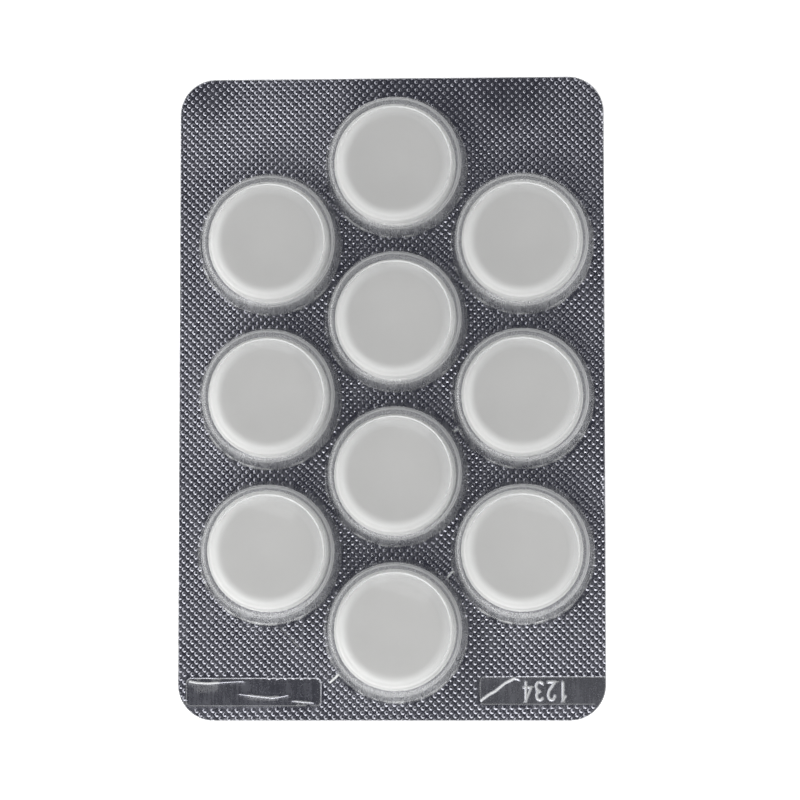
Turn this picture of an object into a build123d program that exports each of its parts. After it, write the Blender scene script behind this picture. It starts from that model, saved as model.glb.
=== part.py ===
"""Push-through blister pack: ten flat tablets in a clear formed film, closed by an aluminium foil.

Millimetres. The pack lies on its foil: the foil's back is the plane z = 0, +Z points to the pockets,
+Y runs along the length, and the origin is the middle of the foil's back.
"""

from build123d import *
from math import cos, radians, sqrt, tan
import os

# Tablet
tablet_diameter = 17.8
tablet_thickness = 4.5

# Room that a tablet has in its pocket
side_clearance = 0.60
top_clearance = 0.35

# Clear film: gauge of the flat flange, and what the forming leaves of it in the pockets
film_gauge = 0.25
pocket_gauge = 0.20
wall_draft = 9.0
crown_bevel = 0.70

# Lidding foil
foil_thickness = 0.03

# Layout: a middle column of pockets, and a shorter one on each side, half a row lower
middle_rows = 4
side_rows = 3
row_web = 2.00
column_web = 1.00
left_rim = 3.08
right_rim = 1.65
top_rim = 2.83
bottom_rim = 2.77
pack_corner_radius = 5.3

# How far each tablet has slid from its pocket's centre: middle, left and right column, each from the top
tablet_slides = [
    (-0.04, 0.00),
    (0.07, -0.12),
    (-0.03, -0.12),
    (-0.01, 0.00),
    (0.00, 0.00),
    (0.03, -0.07),
    (-0.01, 0.12),
    (0.06, 0.07),
    (0.00, 0.00),
    (-0.06, 0.15),
]

# Levels, from the back of the foil up
film_back = foil_thickness
flange_top = film_back + film_gauge
tablet_top = film_back + tablet_thickness
ceiling = tablet_top + top_clearance
dome_top = ceiling + pocket_gauge

# Radii: the lining leans in from its mouth to the ceiling, and the skin runs beside it
tablet_radius = tablet_diameter / 2
lean = tan(radians(wall_draft))
ceiling_radius = tablet_radius + side_clearance
skin_offset = pocket_gauge / cos(radians(wall_draft)) - pocket_gauge * lean
dome_radius = ceiling_radius + skin_offset
foot_radius = dome_radius + (dome_top - flange_top) * lean
lining_bevel = crown_bevel - (2 - sqrt(2)) * pocket_gauge

# Pitches and outline follow the pockets
row_pitch = 2 * foot_radius + row_web
column_pitch = sqrt((2 * foot_radius + column_web) ** 2 - (row_pitch / 2) ** 2)
pack_width = left_rim + 2 * foot_radius + 2 * column_pitch + right_rim
pack_length = top_rim + 2 * foot_radius + (middle_rows - 1) * row_pitch + bottom_rim
layout_x = (left_rim - right_rim) / 2
layout_y = (bottom_rim - top_rim) / 2


def column(x, rows):
    """Pocket centres of one column, from the top of the pack down."""
    first = layout_y + (rows - 1) / 2 * row_pitch
    return [(x, first - row * row_pitch) for row in range(rows)]


def pocket_section(top, corner_radius, bevel):
    """Half section of a pocket: leaning wall, bevelled crown and flat top."""
    return [
        (0, film_back),
        (corner_radius + (top - film_back) * lean, film_back),
        (corner_radius + bevel * lean, top - bevel),
        (corner_radius - bevel, top),
        (0, top),
    ]


pocket_centres = (
    column(layout_x, middle_rows)
    + column(layout_x - column_pitch, side_rows)
    + column(layout_x + column_pitch, side_rows)
)

# Outside of one pocket
with BuildPart() as pocket_skin:
    with BuildSketch(Plane.XZ):
        with BuildLine():
            Polyline(*pocket_section(dome_top, dome_radius, crown_bevel), close=True)
        make_face()
    revolve(axis=Axis.Z)

# Hollow of one pocket, a film's gauge inside the skin
with BuildPart() as pocket_hollow:
    with BuildSketch(Plane.XZ):
        with BuildLine():
            Polyline(*pocket_section(ceiling, ceiling_radius, lining_bevel), close=True)
        make_face()
    revolve(axis=Axis.Z)

# Clear film, formed from one sheet
with BuildPart() as blister_film:
    with BuildSketch(Plane.XY.offset(film_back)):
        RectangleRounded(pack_width, pack_length, pack_corner_radius)
    extrude(amount=film_gauge)
    with Locations(*pocket_centres):
        add(pocket_skin.part)
    with Locations(*pocket_centres):
        add(pocket_hollow.part, mode=Mode.SUBTRACT)
blister_film.part.label = "blister_film"

# Lidding foil, sealed to the film's back
with BuildPart() as lidding_foil:
    with BuildSketch():
        RectangleRounded(pack_width, pack_length, pack_corner_radius)
    extrude(amount=foil_thickness)
lidding_foil.part.label = "lidding_foil"

# One pressed tablet, lying on the foil
with BuildPart() as tablet:
    with BuildSketch(Plane.XY.offset(film_back)):
        Circle(tablet_radius)
    extrude(amount=tablet_thickness)

os.makedirs("parts", exist_ok=True)
export_step(blister_film.part, "parts/blister_film.step")
export_step(lidding_foil.part, "parts/lidding_foil.step")
for number, (centre, slide) in enumerate(zip(pocket_centres, tablet_slides), start=1):
    with BuildPart() as placed_tablet:
        with Locations((centre[0] + slide[0], centre[1] + slide[1], 0)):
            add(tablet.part)
    placed_tablet.part.label = f"tablet_{number:02d}"
    export_step(placed_tablet.part, f"parts/{placed_tablet.part.label}.step")
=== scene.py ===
"""Looks of the blister pack: knurled foil, clear formed film, pressed tablets, light and camera.

Shapes are worked out in millimetres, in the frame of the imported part: the pack lies on z = 0 with its
pockets up and its length along y. Each piece is made from them in metres.
"""

import math

import bpy
import numpy as np
from mathutils import Matrix, Vector, geometry, noise


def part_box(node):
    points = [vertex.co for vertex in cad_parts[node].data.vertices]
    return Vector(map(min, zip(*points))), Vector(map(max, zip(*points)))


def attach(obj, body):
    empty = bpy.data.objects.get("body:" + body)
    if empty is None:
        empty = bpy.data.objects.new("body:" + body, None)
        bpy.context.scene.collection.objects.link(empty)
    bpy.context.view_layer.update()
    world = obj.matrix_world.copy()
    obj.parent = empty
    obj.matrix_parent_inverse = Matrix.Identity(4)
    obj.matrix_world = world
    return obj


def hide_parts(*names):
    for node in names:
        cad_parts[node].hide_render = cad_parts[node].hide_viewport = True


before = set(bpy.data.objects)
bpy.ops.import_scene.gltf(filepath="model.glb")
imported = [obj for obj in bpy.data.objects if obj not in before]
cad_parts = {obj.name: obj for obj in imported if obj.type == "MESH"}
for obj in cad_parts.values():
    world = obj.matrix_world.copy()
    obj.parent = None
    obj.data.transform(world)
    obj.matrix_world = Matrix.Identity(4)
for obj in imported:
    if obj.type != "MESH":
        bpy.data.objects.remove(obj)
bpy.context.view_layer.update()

MM = 0.001


def box_of(node):
    """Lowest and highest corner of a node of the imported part."""
    low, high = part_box(node)
    return np.array(low) / MM, np.array(high) / MM


# Levels and outline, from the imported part
foil_back = box_of("lidding_foil")[0][2]
film_low, film_high = box_of("blister_film")
film_corners = np.array([v.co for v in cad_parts["blister_film"].data.vertices]) / MM
same_level = 0.001
film_back = film_low[2]
dome_top = film_high[2]
flange_top = film_corners[film_corners[:, 2] > film_back + same_level][:, 2].min()
half_width = film_high[0]
half_length = film_high[1]
pack_corner_radius = 5.3

# Tablets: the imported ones, with the bevel and soft edges of pressed powder
tablet_names = sorted(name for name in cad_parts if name.startswith("tablet_"))
tablet_low, tablet_high = box_of(tablet_names[0])
tablet_radius = (tablet_high[0] - tablet_low[0]) / 2
tablet_bottom = tablet_low[2]
tablet_top = tablet_high[2]
tablet_shoulder_width = 2.15
tablet_sag = 0.06
tablet_shoulder_depth = 0.18
tablet_bevel_width = 1.40
tablet_bevel_depth = 0.72
tablet_edge_softness = 0.34
# The rim is whitened as painted light and the outer edge greyed as painted shade: where these begin and how
# fast they fade in
tablet_painted_light_fade = 1.0
tablet_painted_shade_width = 0.45
tablet_painted_shade_fade = 0.25
tablet_lip_inset = 0.66
tablet_lip_width = 0.14
tablet_lip_height = 0.05
tablet_first_ring = tablet_radius / 2
tablet_count = 120

# Pockets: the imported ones, with round crowns and feet in place of the bevels and corners, and dished tops
side_clearance = 0.60
pocket_gauge = 0.20
wall_draft = math.radians(9.0)
crown_radius = 1.0
foot_flare = 0.22
dish_depth = 0.11
dish_edge = (8.36, 8.20)
dish_edge_border = 0.05
lining_dish_edge = (8.24, 8.08)
top_rings = (7.6, 3.5)
ceiling = dome_top - pocket_gauge
ceiling_radius = tablet_radius + side_clearance
dome_radius = ceiling_radius + pocket_gauge / math.cos(wall_draft) - pocket_gauge * math.tan(wall_draft)
foot_radius = dome_radius + (dome_top - flange_top) * math.tan(wall_draft)
mouth_radius = ceiling_radius + (ceiling - film_back) * math.tan(wall_draft)
tangent_share = math.tan((math.pi / 2 - wall_draft) / 2)
flange_foot = foot_radius + foot_flare * tangent_share

# Knurl of the foil: a square lattice of small blunt cones, turned by about an eighth of a circle
knurl_pitch = 0.84
knurl_turn = math.radians(45.6)
dot_foot = 0.355
dot_top = 0.165
dot_height = 0.104
dot_sides = 8
back_dot_sides = 4
least_press = 0.08

# Edges that turn by more degrees are sharp, but on the foil none that climbs a cone
sharp_angle = 55.0
foil_sharp_angle = 9.0
slope_climb = 0.04

# Smooth fringe round each pocket, a little out of step with the pockets
fringe_radius = 10.38
fringe_shift = np.array([0.10, -0.18])
fringe_stretch = np.array([0.0, 0.004])
fringe_fade = 0.15
fringe_width = 0.5
fringe_relief = 0.020

# Where the knurl's dots are larger or smaller: middle, reach and change, which is full near the middle
patch_slope = 1.5
dot_patches = [
    ((-20, 40), 17, 0.14), ((6, 45.5), 15, -0.24), ((-26.8, 45.9), 5, -0.30), ((18.5, 46.3), 7.5, -0.30),
    ((-29, 3), 17, 0.09), ((28, -36), 16, 0.09), ((-21, -50), 11, 0.09), ((19, -50), 12, 0.10),
]

# Gap that keeps the film's back off the foil
seal_gap = 0.004

# Smooth plates of the knurl, measured from the pack's lower left corner: left, bottom, right, top
plates = [
    (1.25, 2.20, 21.05, 6.18),
    (44.45, 2.42, 64.00, 6.38),
]
plate_corner = 0.6

# Raised lip of the knurled ground round the plates, as distances and heights, and how it varies on its way
plate_lip = [(0.0, 0.0), (0.11, 0.055), (0.60, 0.0)]
plate_lip_share = 0.7
plate_lip_swing = 0.6
plate_lip_size = 1.6

# How finely the sheets are drawn: points round circles, and steps along lines
outline_step = 0.32
mouth_count = 96
foot_count = 96
seat_count = 48
inner_seat_count = 16
fringe_count = 132
film_fringe_count = 120
path_end_count = 8
ridge_step = 0.22
back_ridge_step = 0.35
film_ridge_step = 0.15
plate_loop_step = 0.3
back_plate_loop_step = 0.6
plate_line_step = 0.8
plate_grid_step = 0.5
edge_step = 0.6
flare_steps = 5
wall_steps = 7
crown_steps = 8
lining_wall_steps = 4
lining_crown_steps = 6

# Room between points of the sheets, so that no sliver of a triangle comes up
outline_room = 0.03
mouth_line_room = 0.15
mouth_room = 0.1
foot_line_room = 0.13
foot_room = 0.10
foot_tolerance = 0.02

# Layers of the noise, so that no two uses of it run alike
plate_layer = 3.0
press_layer = 4.0
foot_layer = 5.0
wrinkle_layer = 8.0


def pocket_centres():
    """The middle of each pocket, from the flat top over each tablet."""
    tops = film_corners[film_corners[:, 2] > dome_top - same_level][:, :2]
    centres = []
    for name in tablet_names:
        low, high = box_of(name)
        away = np.linalg.norm(tops - (low + high)[:2] / 2, axis=1)
        over = tops[away < foot_radius]
        centres.append((over.min(axis=0) + over.max(axis=0)) / 2)
    return np.array(centres)


pockets = pocket_centres()


def rounded_rectangle(low, high, radius, step):
    """Points round a rectangle with round corners, anticlockwise, about one step apart."""
    inner_low = np.array(low) + radius
    inner_high = np.array(high) - radius
    corners = [
        (inner_high[0], inner_low[1]),
        (inner_high[0], inner_high[1]),
        (inner_low[0], inner_high[1]),
        (inner_low[0], inner_low[1]),
    ]
    turns = max(2, math.ceil(radius * math.pi / 2 / step))
    points = []
    for number, corner in enumerate(corners):
        angles = math.pi / 2 * (number - 1 + np.arange(turns + 1) / turns)
        arc = corner + radius * np.column_stack([np.cos(angles), np.sin(angles)])
        following = corners[(number + 1) % 4]
        after = following + radius * np.array([math.cos(angles[-1]), math.sin(angles[-1])])
        pieces = max(1, math.ceil(np.linalg.norm(after - arc[-1]) / step))
        shares = np.arange(1, pieces)[:, None] / pieces
        points.append(arc)
        points.append(arc[-1] + (after - arc[-1]) * shares)
    return np.vstack(points)


def circle(centre, radius, count):
    """Points evenly round a circle, anticlockwise."""
    angles = 2 * math.pi * np.arange(count) / count
    return centre + radius * np.column_stack([np.cos(angles), np.sin(angles)])


def rings(middles, radius, count):
    """The points of a circle round each middle."""
    return [circle(middle, radius, count) for middle in middles]


def rough(points, size, level=0.0):
    """Smooth noise from -1 to 1 at flat points, with bumps of the given size."""
    return np.array([noise.noise(Vector((x / size, y / size, level))) for x, y in points])


def to_nearest_pocket(points):
    """How far flat points are from the middle of the pocket nearest to them."""
    return np.linalg.norm(points[:, None, :] - pockets[None, :, :], axis=2).min(axis=1)


def fringe_middles():
    """The middle of each pocket's smooth fringe."""
    return pockets + fringe_shift + fringe_stretch * pockets


def past_fringe(points):
    """How far flat points are outside the nearest fringe."""
    away = np.linalg.norm(points[:, None, :] - fringe_middles()[None, :, :], axis=2)
    return away.min(axis=1) - fringe_radius


def past_plates(points):
    """How far flat points are outside the nearest smooth plate of the knurl."""
    outside = np.full(len(points), np.inf)
    for left, bottom, right, top in plates:
        middle = np.array([(left + right) / 2 - half_width, (bottom + top) / 2 - half_length])
        over = np.abs(points - middle) - np.array([right - left, top - bottom]) / 2 + plate_corner
        away = np.linalg.norm(np.maximum(over, 0), axis=1) + np.minimum(over.max(axis=1), 0)
        outside = np.minimum(outside, away - plate_corner)
    return outside


def in_outline(points, margin=0.0):
    """Which flat points lie inside the pack's outline, at least a margin from it."""
    corner = np.array([half_width, half_length]) - pack_corner_radius
    over = np.maximum(np.abs(points) - corner, 0)
    return np.linalg.norm(over, axis=1) < pack_corner_radius - margin


def off_path(points, path):
    """How far flat points are from a path."""
    nearest = np.full(len(points), np.inf)
    for start, end in zip(path[:-1], path[1:]):
        run = end - start
        share = np.clip((points - start) @ run / (run @ run), 0, 1)
        away = np.linalg.norm(points - start - share[:, None] * run, axis=1)
        nearest = np.minimum(nearest, away)
    return nearest


def beside(path, profile, step):
    """Points along a path, on it and at each distance of a profile on both its sides."""
    reach = profile[-1][0]
    points = [path[-1:], circle(path[0], reach, path_end_count), circle(path[-1], reach, path_end_count)]
    for start, end in zip(path[:-1], path[1:]):
        run = end - start
        length = np.linalg.norm(run)
        side = np.array([-run[1], run[0]]) / length
        shares = np.arange(0, 1, 1 / math.ceil(length / step))[:, None]
        for distance, _ in profile:
            for offset in {distance, -distance}:
                points.append(start + shares * run + side * offset)
    return np.vstack(points)


def raised(points, ridges):
    """Height of the highest ridge at each flat point. A ridge is a path and a profile across it."""
    height = np.zeros(len(points))
    for path, profile in ridges:
        distances, heights = zip(*profile)
        height = np.maximum(height, np.interp(off_path(points, path), distances, heights))
    return height


# Generic figures pressed into the right plate, each drawn upright in a box of one by one
figures = {
    "1": [[(0.25, 0.78), (0.58, 1.0), (0.58, 0.0)]],
    "2": [[
        (0.05, 0.76), (0.2, 0.95), (0.5, 1.0), (0.8, 0.94),
        (0.93, 0.74), (0.8, 0.5), (0.05, 0.0), (0.97, 0.0),
    ]],
    "3": [
        [(0.08, 0.9), (0.35, 1.0), (0.72, 0.97), (0.9, 0.77), (0.75, 0.58), (0.42, 0.53)],
        [(0.42, 0.53), (0.8, 0.45), (0.95, 0.25), (0.76, 0.04), (0.38, 0.0), (0.05, 0.11)],
    ],
    "4": [[(0.7, 0.0), (0.7, 1.0), (0.03, 0.3), (1.0, 0.3)]],
}
figure_text = "1234"
figure_width = 1.15
figure_height = 2.65
figure_spacing = 1.76
figures_right = 57.25
figures_bottom = 3.05
figure_stroke = [(0.0, 0.12), (0.05, 0.12), (0.26, 0.0)]
film_stroke = [(0.0, 0.065), (0.12, 0.050), (0.19, 0.0)]
# Whiteness of the film over the figures' strokes, as painted highlight
figure_painted_highlight = 0.62

# Profiles across creases, as distances and heights
crease = [(0.0, 0.12), (0.25, 0.0)]
soft_crease = [(0.0, 0.065), (0.10, 0.030), (0.32, 0.0)]
fine_crease = [(0.0, 0.065), (0.11, 0.050), (0.20, 0.0)]

# Creases of the foil's plates, as points measured from the pack's middle, with their profiles
right_crease = [(13.2, -44.5), (14.3, -43.7), (15.3, -43.15), (16.7, -42.0), (18.1, -41.3)]
plate_creases = [
    ([(-29.7, -41.75), (-28.6, -41.95), (-27.0, -42.05), (-24.4, -41.85), (-21.6, -41.7)], soft_crease),
    ([(-22.4, -43.6), (-19.6, -43.95), (-17.3, -44.2), (-15.1, -43.75)], soft_crease),
    ([(-14.6, -44.6), (-13.0, -44.75), (-11.3, -44.9)], soft_crease),
    (right_crease + [(18.8, -41.5)], crease),
]

# White creases of the film, as points measured from the pack's middle, with their whiteness: the film's own
# whitened creases, and painted highlight where they follow the foil's creases
film_creases_and_painted_highlights = [
    ([(8.02, -5.95), (9.0, -5.3), (10.09, -4.33)], 1.0),
    ([(7.72, -27.25), (8.7, -25.95), (10.24, -24.89)], 1.0),
    ([(-8.99, -41.9), (-8.2, -41.2), (-7.22, -40.13)], 1.0),
    (right_crease, 0.95),
    ([(-29.7, -41.75), (-28.6, -41.95), (-27.0, -42.05), (-25.4, -41.92)], 0.80),
    ([(-21.0, -43.78), (-19.6, -43.95), (-18.0, -44.1), (-16.6, -43.98)], 0.35),
    ([(-14.2, -44.65), (-13.0, -44.75), (-11.9, -44.83)], 0.30),
    ([(-16.2, -33.9), (-14.9, -35.3), (-13.6, -36.7)], 0.12),
]


def plate_loops(distances, step):
    """Points round the smooth plates, at some distances outside them."""
    loops = []
    for left, bottom, right, top in plates:
        low = np.array([left - half_width, bottom - half_length])
        high = np.array([right - half_width, top - half_length])
        for past in distances:
            loops.append(rounded_rectangle(low - past, high + past, plate_corner + past, step))
    return loops


def plate_lips(points):
    """Height of the knurled ground's raised lip round each smooth plate."""
    height = np.interp(past_plates(points), *zip(*plate_lip), left=0, right=0)
    return height * (plate_lip_share + plate_lip_swing * rough(points, plate_lip_size, plate_layer))


def figure_strokes():
    """The strokes of the pressed figures, which are turned upside down, so the first stands at the right."""
    size = np.array([figure_width, figure_height])
    start = np.array([figures_right - half_width, figures_bottom + figure_height - half_length])
    strokes = []
    for place, figure in enumerate(figure_text):
        corner = start - np.array([place * figure_spacing, 0])
        strokes += [corner - np.array(stroke) * size for stroke in figures[figure]]
    return strokes


# Ridges of the foil and marks of the film: a path, a profile across it and, in the film, its whiteness, which
# is painted highlight over the foil's creases and the figures
foil_ridges = [(stroke, figure_stroke) for stroke in figure_strokes()]
foil_ridges += [(np.array(path), profile) for path, profile in plate_creases]
film_marks = [(np.array(path), fine_crease, whiteness) for path, whiteness in film_creases_and_painted_highlights]
film_marks += [(stroke, film_stroke, figure_painted_highlight) for stroke in figure_strokes()]
film_ridges = [(path, profile) for path, profile, _ in film_marks]

# Unevenness of the sealed sheets
wave_size = 5.5
wave_height = 0.008
wrinkle_size = 0.7
press_patch_size = 9.0
usual_press = 0.95
press_spread = 0.10
tablet_seat_radius = 9.3
film_wrinkle_share = 0.6
film_wrinkle_reach = 0.6
film_wrinkle_start = 0.05


def lattice():
    """The two directions of the knurl's rows, as the columns of a matrix."""
    cosine, sine = math.cos(knurl_turn), math.sin(knurl_turn)
    return np.array([[cosine, -sine], [sine, cosine]])


def press(sites):
    """How fully the knurl is pressed at each dot: not at all in the plates and at the pockets' feet."""
    clear = np.clip(past_fringe(sites) / fringe_fade, 0, 1)
    clear[to_nearest_pocket(sites) < mouth_radius + dot_top] = 0
    clear[past_plates(sites) < dot_top] = 0
    return clear * (usual_press + press_spread * rough(sites, press_patch_size, press_layer))


def dot_size(sites):
    """How large the knurl's dots are, against their usual size."""
    size = np.ones(len(sites))
    for middle, reach, change in dot_patches:
        away = np.linalg.norm(sites - np.array(middle), axis=1)
        size += change * np.clip(patch_slope - patch_slope * away / reach, 0, 1)
    return size


def dots():
    """Middles of the knurl's dots that are pressed and lie on the foil."""
    reach = math.ceil((half_width + half_length) / knurl_pitch)
    steps = np.arange(-reach, reach + 1)
    first, second = np.meshgrid(steps, steps)
    sites = np.column_stack([first.ravel(), second.ravel()]) * knurl_pitch @ lattice().T
    sites = sites[in_outline(sites, -dot_foot)]
    return sites[press(sites) > least_press]


def knurl(points):
    """Height of the knurl's blunt cones at flat points."""
    cells = points @ lattice() / knurl_pitch
    nearest = np.rint(cells)
    away = np.linalg.norm(cells - nearest, axis=1) * knurl_pitch
    sites = nearest * knurl_pitch @ lattice().T
    size = dot_size(sites)
    slope = np.clip((dot_foot - away / size) / (dot_foot - dot_top), 0, 1)
    pressed = press(sites)
    return dot_height * slope * size * np.where(pressed > least_press, pressed, 0)


def unevenness(points):
    """Waves of the open foil and wrinkles at the pockets' feet, none where a tablet lies."""
    away = to_nearest_pocket(points)
    open_ground = np.clip((away - tablet_seat_radius) / (mouth_radius - tablet_seat_radius), 0, 1)
    fringe = np.clip(1 - np.abs(past_fringe(points)) / fringe_width, 0, 1)
    waves = wave_height * (1 + rough(points, wave_size))
    wrinkles = fringe_relief * (1 + rough(points, wrinkle_size, wrinkle_layer))
    return open_ground * (waves + fringe * wrinkles)


def foil_relief(points):
    """Height of the foil's upper face over the level of the seal."""
    relief = np.maximum(raised(points, foil_ridges), plate_lips(points))
    return unevenness(points) + np.maximum(knurl(points), relief)


def triangulate(points, border, loops):
    """Triangles inside a border. Border and loops are lists of point numbers whose lines are kept."""
    lines = [pair for loop in loops for pair in zip(loop, loop[1:] + loop[:1])]
    points = [Vector(point) for point in points]
    only_inside = 1
    nearness = 1e-5
    found = geometry.delaunay_2d_cdt(points, lines, [border], only_inside, nearness)
    flat, triangles, sources = np.array(found[0]), np.array(found[2]), found[3]
    place = {number: index for index, numbers in enumerate(sources) for number in numbers}
    return flat, triangles, [[place[number] for number in loop] for loop in [border] + loops]


def spread(rows):
    """Stacks rows of points, and gives the numbers of each row's points."""
    ends = np.cumsum([len(row) for row in rows])
    return np.vstack(rows), [list(range(end - len(row), end)) for row, end in zip(rows, ends)]


def outline():
    """Points round the pack's outline."""
    corner = np.array([half_width, half_length])
    return rounded_rectangle(-corner, corner, pack_corner_radius, outline_step)


class Surface:
    """Points, faces, and haze and painted light of a mesh that is put together stretch by stretch.

    On a tablet's points it is the value of its rim's painted light and its outer edge's painted shade.
    """

    def __init__(self):
        self.points = []
        self.painted_light_and_haze = []
        self.faces = []

    def add(self, points, painted_light_and_haze=0.0):
        """Takes in points and gives their numbers."""
        first = len(self.points)
        self.points.extend(np.asarray(points, float).tolist())
        self.painted_light_and_haze.extend(np.broadcast_to(painted_light_and_haze, len(points)).tolist())
        return list(range(first, len(self.points)))

    def take(self, triangles, numbers, turned=False):
        """Takes in triangles over points that were added before."""
        chosen = np.array(numbers)[triangles]
        if turned:
            chosen = chosen[:, ::-1]
        self.faces.extend(chosen.tolist())

    def bridge(self, lower, upper):
        """Joins two rings of as many points. Both run anticlockwise seen from the side that shows."""
        for start, end in zip(range(len(lower)), list(range(1, len(lower))) + [0]):
            self.faces.append((lower[start], lower[end], upper[end], upper[start]))

    def close(self, ring, middle, turned=False):
        """Fills a ring with triangles to its middle point."""
        for start, end in zip(ring, ring[1:] + ring[:1]):
            self.faces.append((end, start, middle) if turned else (start, end, middle))


def raise_to(points, heights):
    """Flat points with their heights."""
    return np.column_stack([points, heights])


def level_ring(centre, radius, height, count):
    """Points round a centre at one height."""
    return raise_to(circle(centre, radius, count), np.full(count, height))


def plate_grid():
    """Points all over the smooth plates, away from their ridges."""
    step = plate_grid_step
    grids = []
    for left, bottom, right, top in plates:
        across = np.arange(left + step / 2, right, step) - half_width
        along = np.arange(bottom + step / 2, top, step) - half_length
        grids.append(np.stack(np.meshgrid(across, along), axis=-1).reshape(-1, 2))
    points = np.vstack(grids)
    return points[raised(points, foil_ridges) == 0]


def foil_upper_points():
    """Rows of flat points for the foil's upper face: outline, mouths of the pockets, and the rest."""
    mouths = rings(pockets, mouth_radius, mouth_count)
    seats = rings(pockets, tablet_seat_radius, seat_count)
    seats += rings(pockets, tablet_seat_radius / 2, inner_seat_count)
    fringe = rings(pockets, mouth_radius + mouth_line_room, fringe_count)
    fringe += rings(fringe_middles(), fringe_radius, fringe_count)
    lines = [beside(path, profile, ridge_step) for path, profile in foil_ridges]
    sites = dots()
    turns = circle(np.zeros(2), 1.0, dot_sides) @ lattice().T
    sizes = dot_size(sites)[:, None]
    cones = [sites + radius * sizes * turn for radius in (dot_top, dot_foot) for turn in turns]
    loops = plate_loops([distance for distance, _ in plate_lip], plate_loop_step)
    ground = np.vstack(fringe + lines + cones + loops + [plate_grid()])
    ground = ground[in_outline(ground, outline_room)]
    ground = ground[to_nearest_pocket(ground) > mouth_radius + mouth_room]
    return [outline()] + mouths + seats + [ground]


def foil_lower_points():
    """Rows of flat points for the foil's back: outline, seats of the tablets, and the rest."""
    seats = rings(pockets, tablet_seat_radius, seat_count)
    lines = [beside(path, profile[:1] + profile[-1:], back_ridge_step) for path, profile in foil_ridges]
    sites = dots()
    turns = circle(np.zeros(2), dot_foot, back_dot_sides) @ lattice().T
    loops = plate_loops([distance for distance, _ in plate_lip], back_plate_loop_step)
    ground = np.vstack(lines + loops + [sites] + [sites + turn for turn in turns])
    ground = ground[in_outline(ground, outline_room)]
    ground = ground[to_nearest_pocket(ground) > mouth_radius]
    return [outline()] + seats + [ground]


def build_foil(surface):
    """One sheet of foil of even gauge. Gives its upper face for the film to be sealed to."""
    points, rows = spread(foil_upper_points())
    flat, triangles, loops = triangulate(points, rows[0], rows[1:1 + len(pockets)])
    heights = foil_relief(flat)
    upper = surface.add(raise_to(flat, film_back + heights))
    surface.take(triangles, upper)
    points, rows = spread(foil_lower_points())
    back, back_triangles, back_loops = triangulate(points, rows[0], [])
    lower = surface.add(raise_to(back, foil_back + foil_relief(back)))
    surface.take(back_triangles, lower, turned=True)
    surface.bridge([lower[number] for number in back_loops[0]], [upper[number] for number in loops[0]])
    return flat, heights, triangles, loops


def crown_and_top(corner_radius, top, crown, steps, dish):
    """Radii and heights over a pocket's round crown, and over its top, whose dish has radii and depths."""
    start = corner_radius - crown * tangent_share
    turns = np.linspace(wall_draft, math.pi / 2, steps)
    arc = np.column_stack([start + crown * np.cos(turns), top - crown + crown * np.sin(turns)])
    return np.vstack([arc, [(radius, top - depth) for radius, depth in dish]])


def wall(corner_radius, top, low, high, steps):
    """Radii and heights on the straight of a pocket's wall between two heights."""
    heights = np.linspace(low, high, steps)
    return np.column_stack([corner_radius + (top - heights) * math.tan(wall_draft), heights])


def skin_section():
    """Radii and heights of a pocket's outside, from the foot's flare to near the middle of its top."""
    middle = np.array([flange_foot, flange_top + foot_flare])
    turns = np.linspace(1.5 * math.pi, math.pi + wall_draft, flare_steps)
    flare = middle + foot_flare * np.column_stack([np.cos(turns), np.sin(turns)])
    low = flare[-1, 1]
    high = dome_top - crown_radius * (1 - math.sin(wall_draft))
    straight = wall(dome_radius, dome_top, low, high, wall_steps)[1:-1]
    outer, inner = dish_edge
    dish = [(outer + dish_edge_border, 0), (outer, 0), (inner, dish_depth)]
    dish += [(radius, dish_depth) for radius in (inner - dish_edge_border, *top_rings)]
    return np.vstack([flare, straight, crown_and_top(dome_radius, dome_top, crown_radius, crown_steps, dish)])


def lining_section():
    """Radii and heights of a pocket's inside, from its mouth to its dished ceiling."""
    crown = crown_radius - pocket_gauge
    high = ceiling - crown * (1 - math.sin(wall_draft))
    straight = wall(ceiling_radius, ceiling, film_back, high, lining_wall_steps)[:-1]
    outer, inner = lining_dish_edge
    dish = [(outer, 0), (inner, dish_depth)]
    return np.vstack([straight, crown_and_top(ceiling_radius, ceiling, crown, lining_crown_steps, dish)])


# Haze and painted light of the stretched film: from none to one, how white it is

# Fine rings of painted reflection on the crown, by radius
crown_painted_reflection_radii = [
    (8.4, 0.0), (8.816, 0.19), (8.92, 0.26), (9.02, 0.21), (9.21, 0.15), (9.385, 0.33),
    (9.54, 0.31), (9.66, 0.19), (9.752, 0.46), (9.80, 0.22),
]
outer_crown = 9.45
crown_fade = 0.1

# The crown's rings are fainter towards one lit side and stronger away from it, the outer ones towards another
# lit side, as painted shade and painted light
lit_side = np.array([-0.20, -0.98])
lit_side_loss = 0.38
outer_lit_side = np.array([-0.85, -0.53])
outer_lit_side_loss = 0.45

# Painted highlight along the step of the dished top, strongest towards one side
dish_edge_painted_highlight = 0.72
dish_edge_highlight_side = np.array([0.45, 0.89])

# Haze of the wall, and a crescent of painted reflection on one side of it that reaches over the fringe
wall_haze = 0.05
crescent_painted_reflection = 0.09
crescent_side = np.array([0.80, -0.60])
crescent_fade = 0.1
lining_haze = 0.05

# Broken white lines round the foot and the fringe
line_haze = 0.42
line_side = np.array([-0.10, -0.99])
line_break_share = 0.35
line_break_swing = 2.2
line_break_size = 1.8
foot_line_width = 0.1
fringe_line_width = 0.12

# Cut edge of the flange, painted sheen on the plates, and painted highlight lines along their borders
edge_haze = 0.60
edge_width = 0.18
left_plate_painted_sheen = 0.02
right_plate_painted_sheen = 0.055
plate_border_painted_highlight = 0.30
plate_line_width = 0.11

# Height at which a crease or a figure's stroke is fully white
white_height = 0.05

# How much of a one-sided haze and painted light is there all round a pocket, and how much follows its side
round_share = 0.35
side_share = 0.65

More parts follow.
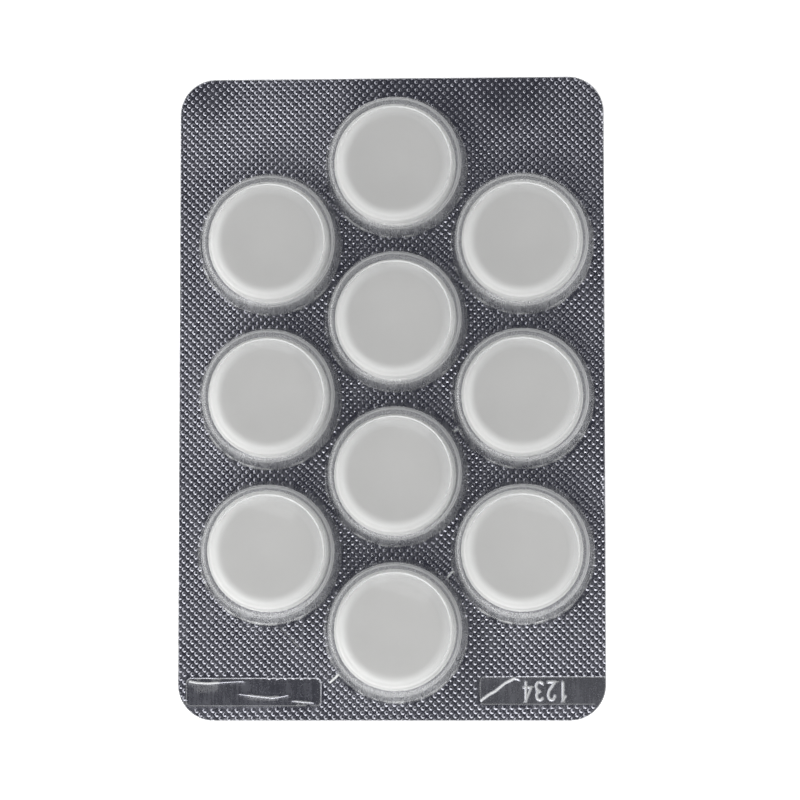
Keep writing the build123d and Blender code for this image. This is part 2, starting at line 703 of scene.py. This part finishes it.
# Wrinkles of the pockets' feet, how fast they fall off up the wall, and their bumps' size along and up it
foot_wrinkle = 0.02
foot_wrinkle_fall = 5
foot_wrinkle_size = 1.6
foot_wrinkle_rise = 2.0


def towards(directions, side):
    """From none to one, how much the flat directions from a pocket's middle point to a side of it."""
    return np.clip(round_share + side_share * (directions @ side), 0, 1)


def painted_light_and_haze_at(radius, directions):
    """Haze and painted light of a pocket's film at a distance from its middle, in some directions: painted
    reflection on the crown and its dish's step, haze and a crescent of painted reflection on the wall.
    """
    # Painted highlight along the dish's step
    if radius in dish_edge:
        return dish_edge_painted_highlight * towards(directions, dish_edge_highlight_side)
    # Painted shade towards the lit sides, painted light away from them
    if radius > outer_crown:
        kept = 1 - outer_lit_side_loss * (directions @ outer_lit_side)
    else:
        kept = 1 - lit_side_loss * (directions @ lit_side)
    # The crown's rings are painted reflection
    crown = kept * np.interp(radius, *zip(*crown_painted_reflection_radii))
    low = wall_haze + crescent_painted_reflection * towards(directions, crescent_side)
    share = np.clip((radius - crown_painted_reflection_radii[-1][0]) / crown_fade, 0, 1)
    return (1 - share) * crown + share * low


def wrinkled_ring(pocket, radius, height):
    """Points round a pocket's outside at one height, which stray in and out a little near its foot."""
    up = (height - flange_top) / (dome_top - flange_top)
    flat = circle(pocket, radius, foot_count)
    swing = rough(flat, foot_wrinkle_size, height / foot_wrinkle_rise)
    swing *= foot_wrinkle * max(0.0, 1 - foot_wrinkle_fall * up)
    outward = (flat - pocket) / radius
    return raise_to(flat + outward * swing[:, None], np.full(foot_count, height))


def film_relief(points):
    """Height of the flange's upper face over its level: creases, and wrinkles at the pockets' feet."""
    away = to_nearest_pocket(points) - flange_foot
    fringe = np.clip(1 - away / film_wrinkle_reach, 0, 1) * np.clip(away / film_wrinkle_start, 0, 1)
    wrinkles = film_wrinkle_share * fringe_relief * fringe * rough(points, wrinkle_size, wrinkle_layer)
    return wrinkles + raised(points, film_ridges)


def broken_line(points, directions):
    """Haze of the broken white lines round a pocket's foot and fringe."""
    broken = line_break_share + line_break_swing * rough(points, line_break_size, foot_layer)
    return line_haze * np.clip(broken, 0, 1) * towards(directions, line_side)


def seal_painted_light_and_haze(points):
    """Haze of the flat film where it leaves the foil round each pocket: the crescent of painted reflection
    and the broken lines.
    """
    away = points[:, None, :] - pockets[None, :, :]
    nearest = np.linalg.norm(away, axis=2).argmin(axis=1)
    spokes = points - pockets[nearest]
    reach = np.linalg.norm(spokes, axis=1)
    directions = spokes / reach[:, None]
    inside = np.clip(-past_fringe(points) / crescent_fade, 0, 1)
    edge = np.clip(1 - np.abs(past_fringe(points)) / fringe_line_width, 0, 1)
    foot = np.clip(1 - (reach - flange_foot) / foot_line_width, 0, 1)
    # The crescent of painted reflection
    cloud = crescent_painted_reflection * inside * towards(directions, crescent_side)
    return np.maximum(cloud, broken_line(points, directions) * np.maximum(edge, foot))


def flange_painted_light_and_haze(points):
    """Haze and painted light of the flat film: seal, cut edge, painted sheen on the smooth plates with
    painted highlight lines on their borders, creases, partly painted highlight, and figures, painted
    highlight.
    """
    painted_light_and_haze = np.maximum(seal_painted_light_and_haze(points), edge_haze * ~in_outline(points, edge_width / 2))
    outside = past_plates(points)
    # Painted sheen on the plates, and painted highlight lines along their borders
    plate_painted_sheen = np.where(points[:, 0] < 0, left_plate_painted_sheen, right_plate_painted_sheen)
    painted_light_and_haze = np.maximum(painted_light_and_haze, plate_painted_sheen * (outside < 0))
    painted_light_and_haze = np.maximum(painted_light_and_haze, plate_border_painted_highlight * np.clip(1 - np.abs(outside) / plate_line_width, 0, 1))
    # The film's own whitened creases, and painted highlight along the foil's creases and over the figures
    for path, profile, whiteness in film_marks:
        painted_light_and_haze = np.maximum(painted_light_and_haze, whiteness * np.clip(raised(points, [(path, profile)]) / white_height, 0, 1))
    return painted_light_and_haze


def film_upper_points():
    """Rows of flat points for the film's upper face: outline, feet of the pockets, and the rest."""
    feet = [wrinkled_ring(pocket, flange_foot, flange_top)[:, :2] for pocket in pockets]
    lines = [beside(path, profile, film_ridge_step) for path, profile in film_ridges]
    fringe = rings(pockets, flange_foot + foot_line_room, foot_count)
    for middle in fringe_middles():
        for past in (-fringe_line_width, 0, foot_line_room):
            fringe.append(circle(middle, fringe_radius + past, film_fringe_count))
    corner = np.array([half_width, half_length]) - edge_width
    fringe.append(rounded_rectangle(-corner, corner, pack_corner_radius - edge_width, edge_step))
    rims = plate_loops((plate_line_width, 0.0, -plate_line_width), plate_line_step)
    rims = [loop[in_outline(loop, edge_width)] for loop in rims]
    ground = np.vstack(lines + fringe + rims)
    ground = ground[to_nearest_pocket(ground) > flange_foot + foot_room]
    return [outline()] + feet + [ground]


def build_flange(surface, sealed):
    """The film's back, which follows the foil, and its upper face. Gives the pockets' mouths and feet."""
    flat, heights, triangles, loops = sealed
    middles = flat[triangles].mean(axis=1)
    kept = to_nearest_pocket(middles) > mouth_radius * math.cos(math.pi / mouth_count)
    used = np.unique(triangles[kept])
    back = np.full(len(flat), -1)
    back[used] = surface.add(raise_to(flat[used], film_back + heights[used] + seal_gap))
    surface.take(triangles[kept], back, turned=True)
    mouths = [[back[number] for number in loop] for loop in loops]

    points, rows = spread(film_upper_points())
    flat, triangles, loops = triangulate(points, rows[0], rows[1:1 + len(pockets)])
    upper = surface.add(raise_to(flat, flange_top + film_relief(flat)), flange_painted_light_and_haze(flat))
    middles = flat[triangles].mean(axis=1)
    surface.take(triangles[to_nearest_pocket(middles) > flange_foot - foot_tolerance], upper)
    feet = [[upper[number] for number in loop] for loop in loops]
    surface.bridge(mouths[0], feet[0])
    return mouths[1:], feet[1:]


def build_pocket(surface, pocket, mouth, foot):
    """One pocket: its outside, from the foot to the top, and its lining, from the mouth to the ceiling."""
    directions = circle(np.zeros(2), 1.0, foot_count)
    ring = foot
    for radius, height in skin_section()[1:]:
        points = wrinkled_ring(pocket, radius, height)
        near_foot = np.clip((radius - foot_radius + foot_line_width) / foot_line_width, 0, 1)
        line = broken_line(points[:, :2], directions) * near_foot
        following = surface.add(points, np.maximum(line, painted_light_and_haze_at(radius, directions)))
        surface.bridge(ring, following)
        ring = following
    surface.close(ring, surface.add([[*pocket, dome_top - dish_depth]])[0])
    ring = mouth
    for radius, height in lining_section()[1:]:
        following = surface.add(level_ring(pocket, radius, height, mouth_count), lining_haze)
        surface.bridge(following, ring)
        ring = following
    surface.close(ring, surface.add([[*pocket, ceiling - dish_depth]])[0], turned=True)


def build_film(surface, sealed):
    """One sheet of film: flange, pockets of even gauge, and a back that follows the foil."""
    mouths, feet = build_flange(surface, sealed)
    for pocket, mouth, foot in zip(pockets, mouths, feet):
        build_pocket(surface, pocket, mouth, foot)


def softened(corners, size, steps=6):
    """A section's points with each inner corner rounded off within a distance of it."""
    corners = np.array(corners, float)
    points = [corners[:1]]
    for before, corner, after in zip(corners[:-2], corners[1:-1], corners[2:]):
        start = corner + (before - corner) / np.linalg.norm(before - corner) * size
        end = corner + (after - corner) / np.linalg.norm(after - corner) * size
        share = np.linspace(0, 1, steps + 1)[:, None]
        points.append((1 - share) ** 2 * start + 2 * share * (1 - share) * corner + share ** 2 * end)
    points.append(corners[-1:])
    return np.vstack(points)


def tablet_half():
    """Radii and depths of half a tablet's section, from a ring on its face out to half its side."""
    corners = [
        (tablet_first_ring, 0.0),
        (tablet_radius - tablet_shoulder_width, tablet_sag),
        (tablet_radius - tablet_bevel_width, tablet_shoulder_depth),
        (tablet_radius, tablet_bevel_depth),
        (tablet_radius, (tablet_top - tablet_bottom) / 2),
    ]
    radii, depths = softened(corners, tablet_edge_softness).T
    lip = tablet_radius - tablet_lip_inset
    extra = [lip - tablet_lip_width, lip, lip + tablet_lip_width]
    depths = np.concatenate([depths, np.interp(extra, radii, depths)])
    radii = np.concatenate([radii, extra])
    order = np.lexsort([depths, radii])
    radii, depths = radii[order], depths[order]
    return radii, depths - tablet_lip_height * np.clip(1 - np.abs(radii - lip) / tablet_lip_width, 0, 1)


def painted_light_and_shade_at(radius):
    """Zero on a tablet's face, one on its rim, whitened as painted light, two on its outer edge, greyed as
    painted shade.
    """
    rim = np.clip((radius - tablet_radius + tablet_shoulder_width) / tablet_painted_light_fade, 0, 1)
    return rim + np.clip((radius - tablet_radius + tablet_painted_shade_width) / tablet_painted_shade_fade, 0, 1)


def build_tablet(surface, middle):
    """A round tablet: nearly flat faces, a soft shoulder and a bevel round each, a straight side."""
    radii, depths = tablet_half()
    lower = list(zip(radii, tablet_bottom + depths))
    upper = list(zip(radii, tablet_top - depths))
    ring = None
    for radius, height in lower + upper[-2::-1]:
        following = surface.add(level_ring(middle, radius, height, tablet_count), painted_light_and_shade_at(radius))
        if ring is None:
            surface.close(following, surface.add([[*middle, tablet_bottom]])[0], turned=True)
        else:
            surface.bridge(ring, following)
        ring = following
    surface.close(ring, surface.add([[*middle, tablet_top]])[0])


def smooth_slopes(mesh):
    """Keeps the slopes of the knurl's cones round: edges that climb them aren't sharp."""
    ends = np.empty(2 * len(mesh.edges), int)
    mesh.edges.foreach_get("vertices", ends)
    corners = np.empty(3 * len(mesh.vertices))
    mesh.vertices.foreach_get("co", corners)
    heights = corners[2::3][ends] / MM
    climb = np.abs(heights[0::2] - heights[1::2])
    level = np.maximum(heights[0::2], heights[1::2]) < flange_top
    sharp = np.empty(len(mesh.edges), bool)
    marks = mesh.attributes["sharp_edge"].data
    marks.foreach_get("value", sharp)
    sharp &= ~(level & (climb > slope_climb))
    marks.foreach_set("value", sharp)


def new_object(name, data):
    """An object in the scene, made of a mesh, a lamp or a camera."""
    made = bpy.data.objects.new(name, data)
    bpy.context.scene.collection.objects.link(made)
    return made


def make_piece(name, surface, material, sharp=sharp_angle):
    """A mesh object, smooth apart from the edges that turn by more than an angle in degrees."""
    mesh = bpy.data.meshes.new(name)
    mesh.from_pydata((np.array(surface.points) * MM).tolist(), [], surface.faces)
    mesh.polygons.foreach_set("use_smooth", [True] * len(mesh.polygons))
    mesh.set_sharp_from_angle(angle=math.radians(sharp))
    smooth_slopes(mesh)
    if any(surface.painted_light_and_haze):
        painted_light_and_haze = mesh.attributes.new("painted_light_and_haze", "FLOAT", "POINT")
        painted_light_and_haze.data.foreach_set("value", surface.painted_light_and_haze)
    mesh.materials.append(material)
    return new_object(name, mesh)


class Nodes:
    """Short ways to make and join a material's or a world's nodes."""

    def __init__(self, owner):
        owner.use_nodes = True
        self.tree = owner.node_tree
        self.tree.nodes.clear()

    def make(self, kind, inputs=None, **settings):
        """Makes a node, whose inputs are values or other nodes' outputs, and gives its outputs."""
        node = self.tree.nodes.new("ShaderNode" + kind)
        for name, value in settings.items():
            setattr(node, name, value)
        for name, value in (inputs or {}).items():
            if isinstance(value, bpy.types.NodeSocket):
                self.tree.links.new(value, node.inputs[name])
            else:
                node.inputs[name].default_value = value
        return node.outputs

    def maths(self, operation, first, second=0.0, third=0.0):
        """The output of a Math node."""
        return self.make("Math", {0: first, 1: second, 2: third}, operation=operation)[0]

    def ramp(self, value, low, high, to_low=0.0, to_high=1.0):
        """A value taken smoothly from one range to another."""
        inputs = {"Value": value, "From Min": low, "From Max": high, "To Min": to_low, "To Max": to_high}
        return self.make("MapRange", inputs, interpolation_type="SMOOTHSTEP")[0]

    def mix(self, share, first, second):
        """A mix of two colours, each given as three values or as another node's output."""
        first, second = [(*c, 1) if isinstance(c, tuple) else c for c in (first, second)]
        return self.make("Mix", {0: share, 6: first, 7: second}, data_type="RGBA")[2]

    def noise(self, place, scale, detail=2.0):
        """The value of a Noise Texture."""
        return self.make("TexNoise", {"Vector": place, "Scale": scale, "Detail": detail})["Fac"]

    def place(self, stretch=(1, 1, 1)):
        """Where a point lies on the object, in metres, stretched along its axes."""
        coordinates = self.make("TexCoord")["Object"]
        return self.make("Mapping", {"Vector": coordinates, "Scale": stretch})[0]

    def bump(self, height, strength, distance):
        """A normal from a height."""
        return self.make("Bump", {"Height": height, "Strength": strength, "Distance": distance})[0]


# The foil's material: how fine its marks are along each axis, its greys, darker than bright aluminium as
# painted shade for the dark surroundings it mirrors, its dull and its bright parts
streak_scale = (9000, 350, 900)
band_scale = (2600, 130, 900)
cloud_scale = (500, 300, 900)
foil_grain_scale = 5000
foil_patch_scale = 180
foil_greys_with_painted_shade = ((0.355, 0.355, 0.392), (0.463, 0.463, 0.50))
band_share, cloud_share, grain_share = 0.35, 0.40, 0.25
dullness_range = (0.38, 0.62)
foil_roughness = (0.19, 0.34)

# The film's material. The wall begins, ends and evens out over these heights in metres, its haze and painted
# light are uneven, and it loses some of its gloss
film_index = 1.5
film_roughness = 0.10
film_tint = (0.99, 0.992, 0.995, 1)
# White of the film's haze and of its painted light
painted_light_and_haze_white = (0.82, 0.83, 0.82, 1)
mottle_scale, speck_scale = 1100, 5000
mottle_share, speck_share = 0.45, 0.55
mottle_range = (0.36, 0.64)
wall_begins = (0.0004, 0.0007)
wall_ends = (0.0042, 0.0048)
wall_evens_out = (0.0032, 0.0044)
wall_unevenness = 0.70
wall_gloss_loss = 0.85

# The tablets' material: colours of the face, which vary from patch to patch, of its rim, whiter as painted
# light, and of its outer edge, greyer as painted shade
powder_grain_scale, powder_patch_scale = 6000, 260
face_colours = ((0.755, 0.747, 0.714), (0.805, 0.797, 0.764))
painted_light_rim_colour = (0.97, 0.965, 0.93)
painted_shade_edge_colour = (0.69, 0.685, 0.665)
powder_roughness = (0.75, 0.95)


def foil_material():
    """Rolled aluminium, dark where it mirrors the dark overhead, and greyed below bright aluminium as painted
    shade.
    """
    material = bpy.data.materials.new("knurled_aluminium_foil")
    nodes = Nodes(material)
    streaks = nodes.noise(nodes.place(streak_scale), 1.0, 3.0)
    grain = nodes.noise(nodes.place(), foil_grain_scale)
    patches = nodes.noise(nodes.place(), foil_patch_scale)
    # Greys darker than aluminium: painted shade
    colour = nodes.mix(patches, *foil_greys_with_painted_shade)
    bands = nodes.noise(nodes.place(band_scale), 1.0, 3.0)
    clouds = nodes.noise(nodes.place(cloud_scale), 1.0, 3.0)
    dullness = nodes.maths("MULTIPLY_ADD", bands, band_share, nodes.maths("MULTIPLY", clouds, cloud_share))
    dullness = nodes.maths("MULTIPLY_ADD", grain, grain_share, dullness)
    roughness = nodes.ramp(dullness, *dullness_range, *foil_roughness)
    normal = nodes.bump(streaks, 0.35, 0.000015)
    inputs = {"Base Color": colour, "Metallic": 1.0, "Roughness": roughness, "Normal": normal}
    shader = nodes.make("BsdfPrincipled", inputs)
    nodes.make("OutputMaterial", {"Surface": shader[0]})
    return material


def film_material():
    """Clear glossy film, hazy and mottled where it was stretched over the pockets' walls, with painted
    reflections, sheen and highlights in the same white.
    """
    material = bpy.data.materials.new("clear_formed_film")
    nodes = Nodes(material)
    back = nodes.make("NewGeometry")["Backfacing"]
    index = nodes.maths("MULTIPLY_ADD", back, 1 / film_index - film_index, film_index)
    upright = nodes.place((1, 1, 0.3))
    mottle = nodes.noise(upright, mottle_scale, 3.0)
    specks = nodes.noise(upright, speck_scale, 1.0)
    both = nodes.maths("MULTIPLY_ADD", mottle, mottle_share, nodes.maths("MULTIPLY", specks, speck_share))
    height = nodes.make("SeparateXYZ", {0: nodes.place()})[2]
    off_flange = nodes.ramp(height, *wall_begins)
    on_wall = nodes.maths("MULTIPLY", off_flange, nodes.ramp(height, *wall_ends, 1.0, 0.0))
    mirror = nodes.make("Fresnel", {"IOR": index})[0]
    mirror = nodes.maths("MULTIPLY", mirror, nodes.maths("MULTIPLY_ADD", on_wall, -wall_gloss_loss, 1.0))
    clear = nodes.make("BsdfTransparent", {"Color": film_tint})
    gloss = nodes.make("BsdfGlossy", {"Color": (1, 1, 1, 1), "Roughness": film_roughness})
    smooth = nodes.make("MixShader", {0: mirror, 1: clear[0], 2: gloss[0]})
    painted_light_and_haze = nodes.make("Attribute", attribute_name="painted_light_and_haze")["Fac"]
    falling = nodes.ramp(height, *wall_evens_out, wall_unevenness, 0.0)
    unevenness = nodes.maths("MULTIPLY", off_flange, falling)
    cloud = nodes.maths("MULTIPLY_ADD", nodes.ramp(both, *mottle_range, -1.0, 1.0), unevenness, 1.0)
    share = nodes.maths("MULTIPLY", painted_light_and_haze, cloud)
    white = nodes.make("BsdfDiffuse", {"Color": painted_light_and_haze_white})
    film = nodes.make("MixShader", {0: share, 1: smooth[0], 2: white[0]})
    nodes.make("OutputMaterial", {"Surface": film[0]})
    return material


def tablet_material():
    """Matte white pressed powder with a fine grain, whiter on the rim as painted light and greyer on the
    outer edge as painted shade.
    """
    material = bpy.data.materials.new("pressed_white_powder")
    nodes = Nodes(material)
    grain = nodes.noise(nodes.place(), powder_grain_scale, 4.0)
    patches = nodes.noise(nodes.place(), powder_patch_scale, 3.0)
    face = nodes.mix(patches, *face_colours)
    rim = nodes.make("Attribute", attribute_name="painted_light_and_haze")["Fac"]
    # Painted light whitens the rim, and painted shade greys the outer edge
    colour = nodes.mix(rim, face, painted_light_rim_colour)
    colour = nodes.mix(nodes.ramp(rim, 1.0, 2.0), colour, painted_shade_edge_colour)
    inputs = {
        "Base Color": colour,
        "Roughness": nodes.ramp(grain, 0.3, 0.7, *powder_roughness),
        "Specular IOR Level": 0.25,
        "Normal": nodes.bump(grain, 0.4, 0.00003),
    }
    shader = nodes.make("BsdfPrincipled", inputs)
    nodes.make("OutputMaterial", {"Surface": shader[0]})
    return material


def ride_and_replace(piece, node):
    """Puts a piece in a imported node's place."""
    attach(piece, "root")
    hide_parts(node)


def dress_pack():
    """Makes the foil, the film and the tablets."""
    foil_surface = Surface()
    sealed = build_foil(foil_surface)
    foil = make_piece("knurled_foil", foil_surface, foil_material(), sharp=foil_sharp_angle)
    ride_and_replace(foil, "lidding_foil")
    film_surface = Surface()
    build_film(film_surface, sealed)
    film = make_piece("formed_film", film_surface, film_material())
    ride_and_replace(film, "blister_film")
    powder = tablet_material()
    for name in tablet_names:
        low, high = box_of(name)
        surface = Surface()
        build_tablet(surface, (low + high)[:2] / 2)
        ride_and_replace(make_piece("pressed_" + name, surface, powder), name)


# Lamps: name, place, width, height and power. Two are broad, and a smaller one stands over the bottom one
lamps = [
    ("left_lamp", Vector((-0.60, 0.06, 0.33)), 0.66, 0.52, 0.80),
    ("bottom_lamp", Vector((-0.05, -0.34, 0.19)), 0.40, 0.29, 0.62),
    ("upper_lamp", Vector((-0.08, -0.26, 0.36)), 0.26, 0.20, 0.28),
]

# World: bright low down all round, and up to some height on one side, and dark overhead
bright_side = Vector((-0.82, -0.57, 0.0)).normalized()
bright_turn = (-0.6, 0.35)
far_side_strength = 0.2
overhead = 0.070
overhead_tint = (0.90, 0.92, 1.16, 1)
low_strength = 2.35
low_band = (0.0, 0.48)
side_strength = 1.08
side_band = (0.62, 0.80)

# Floor
floor_reach = 2.0
floor_level = -0.00003
floor_glow = 0.62


def seen_and_mirrored(nodes):
    """One for rays that see a thing, straight or through something clear, and one for rays that mirror it."""
    path = nodes.make("LightPath")
    seen = nodes.maths("MAXIMUM", path["Is Camera Ray"], path["Is Transmission Ray"])
    return seen, path["Is Glossy Ray"]


def build_world():
    """White where it is seen. Its light is dark overhead, and brighter low down and towards the lamps."""
    world = bpy.data.worlds.new("studio")
    bpy.context.scene.world = world
    nodes = Nodes(world)
    way = nodes.make("TexCoord")["Generated"]
    up = nodes.make("SeparateXYZ", {0: way})[2]
    turn = nodes.make("VectorMath", {0: way, 1: bright_side}, operation="DOT_PRODUCT")["Value"]
    low = nodes.ramp(up, *low_band, low_strength, 0.0)
    side = nodes.ramp(turn, *bright_turn, far_side_strength, side_strength)
    light = nodes.maths("MULTIPLY_ADD", side, nodes.ramp(up, *side_band, 1.0, 0.0), low)
    seen, _ = seen_and_mirrored(nodes)
    round_about = nodes.make("Background", {"Color": (1, 1, 1, 1), "Strength": light})
    dark = nodes.make("Background", {"Color": overhead_tint, "Strength": overhead})
    sky = nodes.make("AddShader", {0: round_about[0], 1: dark[0]})
    white = nodes.make("Background", {"Color": (1, 1, 1, 1), "Strength": 1.0})
    both = nodes.make("MixShader", {0: seen, 1: sky[0], 2: white[0]})
    nodes.make("OutputWorld", {"Surface": both[0]})


def build_lamp(name, place, width, height, power):
    """A broad soft lamp that faces the pack."""
    lamp = bpy.data.lights.new(name, "AREA")
    lamp.shape = "RECTANGLE"
    lamp.size = width
    lamp.size_y = height
    lamp.energy = power
    stand = new_object(name, lamp)
    stand.location = place
    stand.rotation_euler = (-place).to_track_quat("-Z", "Y").to_euler()


def build_floor():
    """A white floor that keeps shadows, and that shows what lies on it from below."""
    material = bpy.data.materials.new("white_floor")
    nodes = Nodes(material)
    seen, mirrored = seen_and_mirrored(nodes)
    lit = nodes.make("BsdfDiffuse", {"Color": (0.9, 0.9, 0.9, 1)})
    strength = nodes.maths("MULTIPLY", nodes.maths("MAXIMUM", seen, mirrored), floor_glow)
    glow = nodes.make("Emission", {"Color": (1, 1, 1, 1), "Strength": strength})
    front = nodes.make("AddShader", {0: lit[0], 1: glow[0]})
    clear = nodes.make("BsdfTransparent")
    back = nodes.make("NewGeometry")["Backfacing"]
    both = nodes.make("MixShader", {0: back, 1: front[0], 2: clear[0]})
    nodes.make("OutputMaterial", {"Surface": both[0]})
    square = [(-1, -1), (1, -1), (1, 1), (-1, 1)]
    corners = [(x * floor_reach, y * floor_reach, floor_level) for x, y in square]
    mesh = bpy.data.meshes.new("floor")
    mesh.from_pydata(corners, [], [(0, 1, 2, 3)])
    mesh.materials.append(material)
    floor = new_object("floor", mesh)


# Camera: over the pack, standing a little to the right and to the bottom of its middle
camera_distance = 580.0
camera_right = math.radians(3.3)
camera_down = math.radians(4.8)
camera_aim = (1.27, -0.40)
view_width = 117.9


def build_camera():
    """The photograph's view."""
    data = bpy.data.cameras.new("view")
    data.lens = data.sensor_width * camera_distance / view_width
    data.clip_start = 0.01
    camera = new_object("view", data)
    away = Vector((math.tan(camera_right), -math.tan(camera_down), 1)).normalized()
    right = Vector((0, 1, 0)).cross(away).normalized()
    turn = Matrix([right, away.cross(right), away]).transposed()
    place = (Vector((*camera_aim, flange_top)) + away * camera_distance) * MM
    camera.matrix_world = Matrix.Translation(place) @ turn.to_4x4()
    bpy.context.scene.camera = camera


dress_pack()
build_world()
for lamp in lamps:
    build_lamp(*lamp)
build_floor()
build_camera()
bpy.context.scene.view_settings.view_transform = "Standard"
